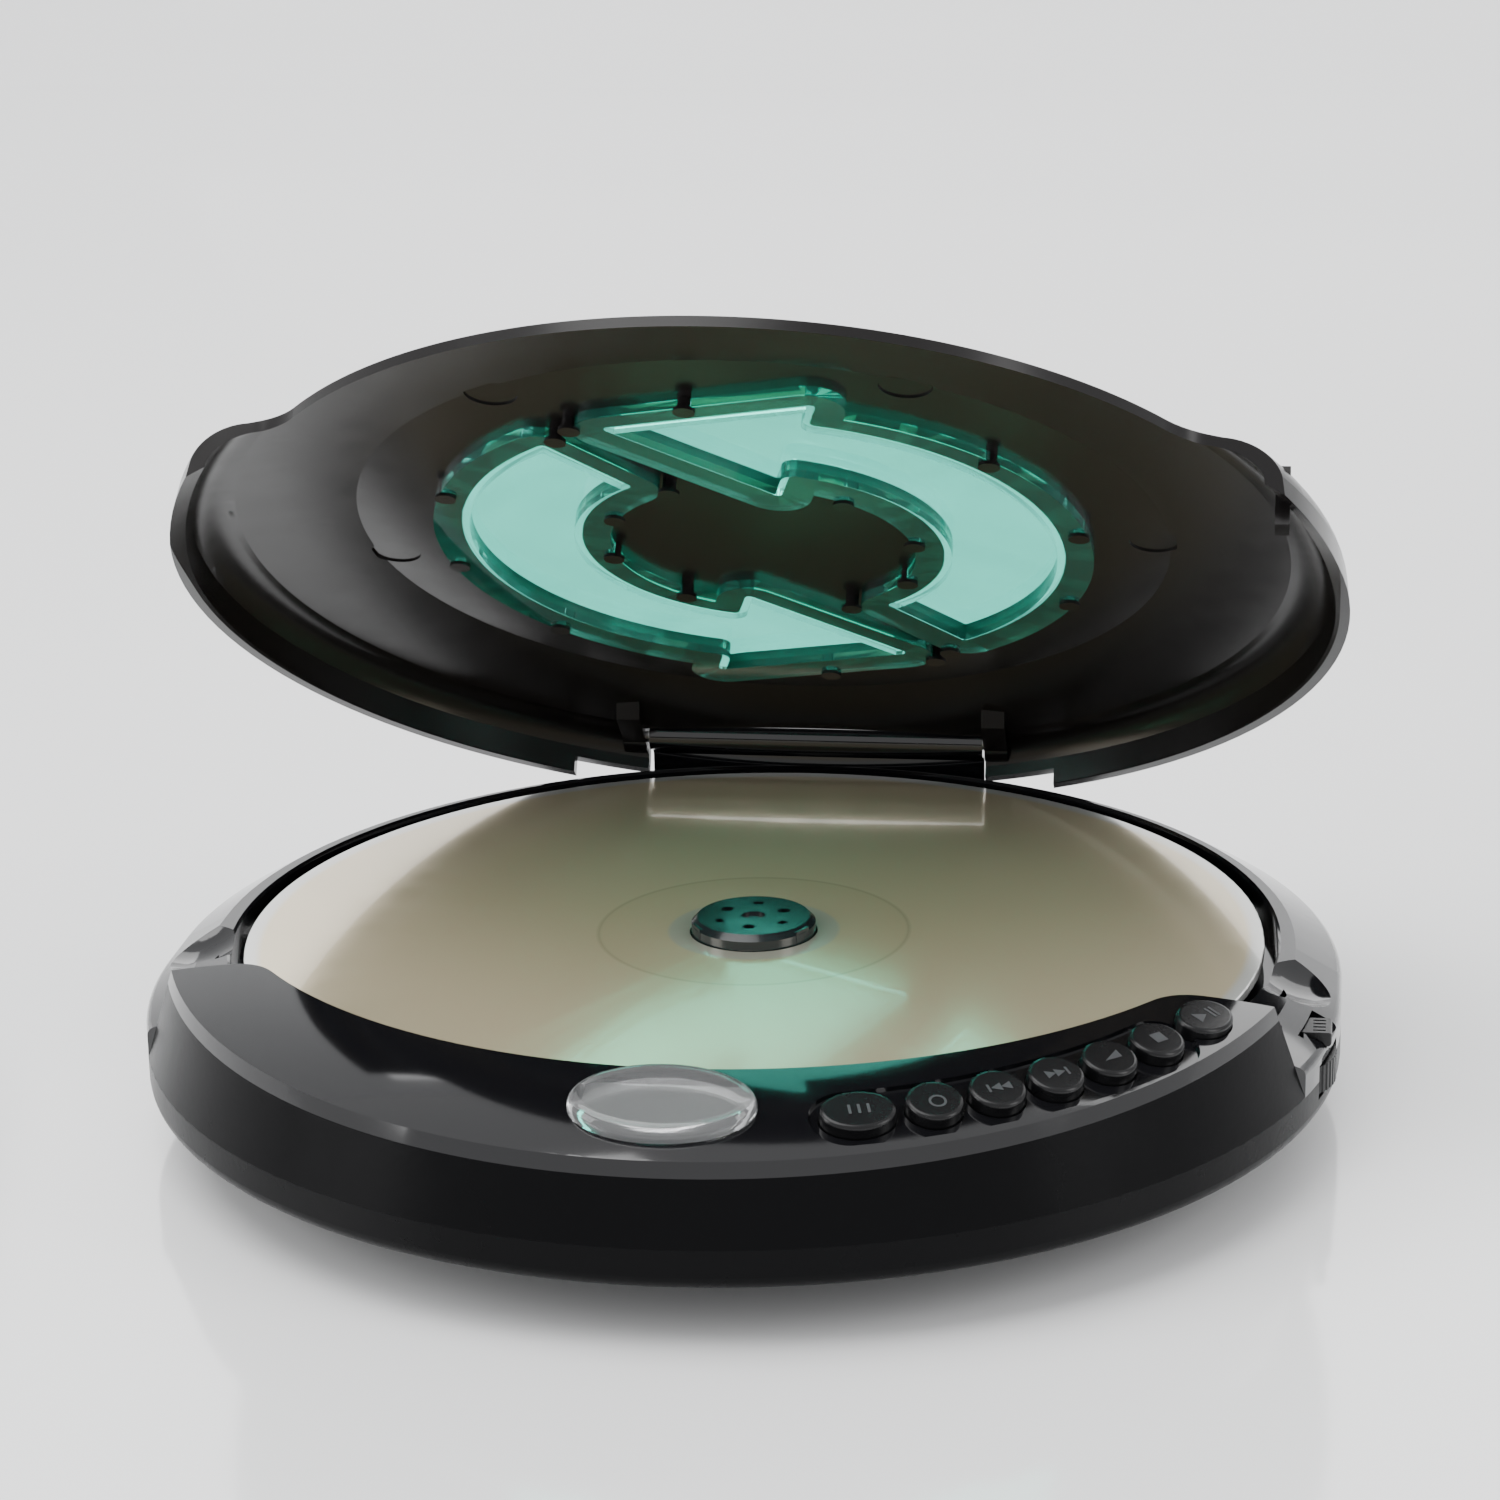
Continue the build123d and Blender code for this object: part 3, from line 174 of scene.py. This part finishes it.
def disc_material():
    """Champagne metallised label side: bare silver rim, darker stacking ring, radial streaks."""
    material, tree, shader = new_material("disc_face")
    place = object_place(tree)
    flat = node(tree, "ShaderNodeVectorMath", operation="MULTIPLY")
    flat.inputs[1].default_value = (1.0, 1.0, 0.0)
    tree.links.new(place, flat.inputs[0])
    length = node(tree, "ShaderNodeVectorMath", operation="LENGTH")
    tree.links.new(flat.outputs["Vector"], length.inputs[0])
    share = node(tree, "ShaderNodeMath", operation="DIVIDE")
    tree.links.new(length.outputs["Value"], share.inputs[0])
    share.inputs[1].default_value = DISC_RADIUS
    champagne = (0.80, 0.67, 0.43)
    bands = [
        (0.0, (0.50, 0.47, 0.38)),
        (0.165, (0.66, 0.62, 0.50)),
        (0.172, champagne),
        (0.30, (0.76, 0.635, 0.40)),
        (0.305, (0.62, 0.52, 0.33)),
        (0.312, champagne),
        (0.70, (0.82, 0.69, 0.46)),
        (0.965, (0.84, 0.72, 0.50)),
        (0.978, (0.80, 0.79, 0.74)),
        (1.0, (0.86, 0.86, 0.84)),
    ]
    tree.links.new(ramp(tree, share.outputs["Value"], bands), shader.inputs["Base Color"])
    split = node(tree, "ShaderNodeSeparateXYZ")
    tree.links.new(place, split.inputs["Vector"])
    angle = node(tree, "ShaderNodeMath", operation="ARCTAN2")
    tree.links.new(split.outputs["Y"], angle.inputs[0])
    tree.links.new(split.outputs["X"], angle.inputs[1])
    streak = node(tree, "ShaderNodeTexNoise", noise_dimensions="1D", Scale=9.0, Detail=5.0)
    tree.links.new(angle.outputs["Value"], streak.inputs["W"])
    tree.links.new(spread(tree, streak.outputs["Fac"], 0.10, 0.20), shader.inputs["Roughness"])
    shader.inputs["Metallic"].default_value = 0.55
    shader.inputs["Coat Weight"].default_value = 0.55
    shader.inputs["Coat Roughness"].default_value = 0.03
    fine = noise(tree, place, Scale=1200.0, Detail=2.0)
    add_bump(tree, shader, fine, 0.04, DISC_GRAIN_HEIGHT)
    return material


def board_material():
    """Green solder mask with a faint weave."""
    material, tree, shader = new_material("board")
    weave = node(tree, "ShaderNodeTexWave", Scale=900.0, Distortion=1.5)
    tree.links.new(object_place(tree), weave.inputs["Vector"])
    tints = [(0.2, (0.008, 0.09, 0.035)), (0.8, (0.012, 0.14, 0.05))]
    tree.links.new(ramp(tree, weave.outputs["Fac"], tints), shader.inputs["Base Color"])
    shader.inputs["Roughness"].default_value = 0.35
    return material


case_tint = (0.0022, 0.0022, 0.0026)
gloss_tint = (0.004, 0.004, 0.005)
rubber_tint = (0.018, 0.018, 0.018)
part_black = plastic("part_black", (0.02, 0.02, 0.02), 0.5)
rubber_black = plastic("rubber_black", rubber_tint, 0.78, grain=1600.0, grain_depth=0.3, specular=0.25)
symbol_grey = plastic("mark_grey", (0.035, 0.037, 0.04), 0.5, grain_depth=0.03)

by_slot = {
    "lower_case": plastic("case_black", case_tint, 0.28, grain=1200.0, grain_depth=0.06, specular=0.08),
    "upper_case": plastic("gloss_black", gloss_tint, 0.09, coat=0.35, grain=420.0, grain_depth=0.01),
    "front_wall": plastic("satin_black", case_tint, 0.24, grain=1400.0, grain_depth=0.04, specular=0.08),
    "panel": plastic("panel_black", gloss_tint, 0.08, coat=0.3, grain=500.0, grain_depth=0.01),
    "clear_lens": tinted_clear("lens_clear", (0.86, 0.87, 0.88), 0.02, cloudy=0.0),
    "display": plastic("display_grey", (0.17, 0.178, 0.168), 0.22, grain=300.0, grain_depth=0.02),
    "keys": plastic("key_grey", (0.005, 0.005, 0.0055), 0.26, grain=1500.0, grain_depth=0.04, specular=0.3),
    "lid": plastic("lid_black", (0.006, 0.0052, 0.0052), 0.20, grain=700.0, grain_depth=0.015, specular=0.3),
    "window": tinted_clear("window_teal", (0.12, 0.86, 0.68), 0.04),
    "disc": disc_material(),
    "hub": plastic("hub_black", (0.008, 0.014, 0.015), 0.22, coat=0.2, grain_depth=0.03),
    "mat": rubber_black,
    "steel": metal("steel", (0.62, 0.62, 0.63), 0.28),
    "motor_can": metal("motor_can", (0.55, 0.56, 0.57), 0.35, stretch=(1.0, 1.0, 1.0)),
    "chassis": part_black,
    "board": board_material(),
    "component": part_black,
    "lens_glass": tinted_clear("pickup_glass", (0.5, 0.55, 0.9), 0.02),
    "nickel": metal("nickel", (0.72, 0.69, 0.62), 0.25),
    "rubber": rubber_black,
}
slot_of = {entry["node"]: entry["material_slot"] for entry in frame["record"]["subparts"]}
for name, item in nodes.items():
    item.data.materials.clear()
    item.data.materials.append(by_slot[slot_of[name]])


# ---------------------------------------------------------------- symbols on the keys
def key_top(name):
    """Middle of a key's top, the way it faces and the direction along the panel's rim."""
    joint = next(j for j in frame["joints"] if j["child"] == name)
    normal = -Vector(joint["axis"]).normalized()
    corners = [nodes[name].matrix_world @ v.co for v in nodes[name].data.vertices]
    top = max(c.dot(normal) for c in corners)
    rim = [c for c in corners if c.dot(normal) > top - KEY_TOP_BAND]
    middle = sum(rim, Vector()) / len(rim)
    along = Vector((-normal.y, normal.x, 0.0)).normalized()
    return middle, normal, along


def mark(name, key, shapes):
    """Flat generic symbols, in millimetres, laid just above the key's top."""
    middle, normal, along = key_top(key)
    across = normal.cross(along)
    origin = middle + normal * SYMBOL_LIFT
    mesh = bpy.data.meshes.new(name)
    build = bmesh.new()
    for shape in shapes:
        build.faces.new([build.verts.new(origin + (x * along + y * across) * MM) for x, y in shape])
    build.normal_update()
    build.to_mesh(mesh)
    build.free()
    item = bpy.data.objects.new(name, mesh)
    bpy.context.collection.objects.link(item)
    thick = item.modifiers.new("thickness", "SOLIDIFY")
    thick.thickness = SYMBOL_THICKNESS
    thick.offset = 0.0
    item.data.materials.append(symbol_grey)
    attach(item, key)


def arrow_right(x, size):
    return [(x - size, -size), (x + size * 0.9, 0.0), (x - size, size)]


def bar(x, width, height):
    low, high = x - width / 2, x + width / 2
    return [(low, -height), (high, -height), (high, height), (low, height)]


def flipped(shape):
    return [(-x, y) for x, y in reversed(shape)]


def ring(outer, inner, count=28):
    """Ring drawn as quads."""
    turns = [radians(360.0 * index / count) for index in range(count + 1)]
    return [
        [
            (inner * cos(a), inner * sin(a)),
            (outer * cos(a), outer * sin(a)),
            (outer * cos(b), outer * sin(b)),
            (inner * cos(b), inner * sin(b)),
        ]
        for a, b in zip(turns, turns[1:])
    ]


skip_forward = [arrow_right(-0.75, 0.62), arrow_right(0.35, 0.62), bar(1.15, 0.28, 0.62)]
mark("mark_mode", "button_mode", [bar(x, 0.3, 0.7) for x in (-1.0, 0.0, 1.0)])
mark("mark_program", "button_program", ring(0.95, 0.68))
mark("mark_back", "button_back", [flipped(shape) for shape in skip_forward])
mark("mark_forward", "button_forward", skip_forward)
mark("mark_bass", "button_bass", [[(-1.1, -0.5), (1.1, -0.5), (1.1, 0.7)]])
mark("mark_stop", "button_stop", [bar(0.0, 1.5, 0.75)])
mark("mark_play", "button_play", [arrow_right(-0.7, 0.85), bar(0.75, 0.3, 0.85), bar(1.35, 0.3, 0.85)])


# ---------------------------------------------------------------- studio
def floor_material(name, colour, roughness):
    material, tree, shader = new_material(name)
    shader.inputs["Roughness"].default_value = roughness
    cloud = noise(tree, object_place(tree), Scale=3.0, Detail=2.0)
    tints = [(0.35, scaled(colour, 0.985)), (0.65, colour)]
    tree.links.new(ramp(tree, cloud, tints), shader.inputs["Base Color"])
    return material


def swept_floor(half_width=2.0, front=-1.2, bend_start=0.75, bend_radius=0.35, wall_top=1.6):
    """Pale floor under the feet that curves up into a back wall."""
    floor_z = cad_box[0][2]
    bend = [radians(a) for a in range(10, 91, 10)]
    profile = [(front, 0.0), (bend_start, 0.0)]
    profile += [(bend_start + bend_radius * sin(a), bend_radius - bend_radius * cos(a)) for a in bend]
    profile += [(bend_start + bend_radius, wall_top)]
    mesh = bpy.data.meshes.new("floor")
    sweep = bmesh.new()
    left_edge, right_edge = [
        [sweep.verts.new((x, y, floor_z + z)) for y, z in profile] for x in (-half_width, half_width)
    ]
    for index in range(len(profile) - 1):
        sweep.faces.new((left_edge[index], right_edge[index], right_edge[index + 1], left_edge[index + 1]))
    sweep.to_mesh(mesh)
    sweep.free()
    for polygon in mesh.polygons:
        polygon.use_smooth = True
    item = bpy.data.objects.new("floor", mesh)
    bpy.context.collection.objects.link(item)
    item.data.materials.append(floor_material("floor_white", (0.90, 0.902, 0.906), 0.10))


def area_light(name, place, target, size, power):
    data = bpy.data.lights.new(name, "AREA")
    data.shape = "RECTANGLE"
    data.size, data.size_y = size
    data.energy = power
    item = bpy.data.objects.new(name, data)
    item.location = place
    item.rotation_euler = (Vector(target) - Vector(place)).to_track_quat("-Z", "Y").to_euler()
    bpy.context.collection.objects.link(item)


swept_floor()
area_light("key", (-0.30, -0.15, 0.95), (0, 0, 0.02), (0.9, 0.7), 9.0)
area_light("left_strip", (-0.75, -0.35, 0.35), (0, -0.02, 0.03), (0.35, 0.6), 3.2)
area_light("right_strip", (0.75, -0.25, 0.38), (0, -0.02, 0.03), (0.3, 0.6), 2.4)
area_light("back", (0.1, 0.85, 0.75), (0, 0.0, 0.05), (1.2, 0.6), 6.0)

world = bpy.data.worlds.new("studio")
bpy.context.scene.world = world
world.use_nodes = True
background = world.node_tree.nodes["Background"]
background.inputs["Color"].default_value = (0.95, 0.955, 0.965, 1.0)
background.inputs["Strength"].default_value = 1.12

# ---------------------------------------------------------------- camera
# The camera looks at the middle of the disc's top face from the front and slightly right.
turn, rise, roll = radians(8.33), radians(17.7), radians(-1.11)
reach, shift_right, shift_up = 0.49674, -0.00044, 0.02123
aim = Vector((0.0, 0.0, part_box("disc")[1][2]))
back = Vector((sin(turn) * cos(rise), -cos(turn) * cos(rise), sin(rise)))
right = Vector((cos(turn), sin(turn), 0.0))
up = back.cross(right)
tilted_right = cos(roll) * right + sin(roll) * up
tilted_up = -sin(roll) * right + cos(roll) * up
camera_data = bpy.data.cameras.new("camera")
camera_data.sensor_width = 36.0
camera_data.lens = 100.8
camera = bpy.data.objects.new("camera", camera_data)
rotation = Matrix((tilted_right, tilted_up, back)).transposed().to_4x4()
eye = aim + reach * back + shift_right * tilted_right + shift_up * tilted_up
camera.matrix_world = Matrix.Translation(eye) @ rotation
bpy.context.collection.objects.link(camera)
bpy.context.scene.camera = camera
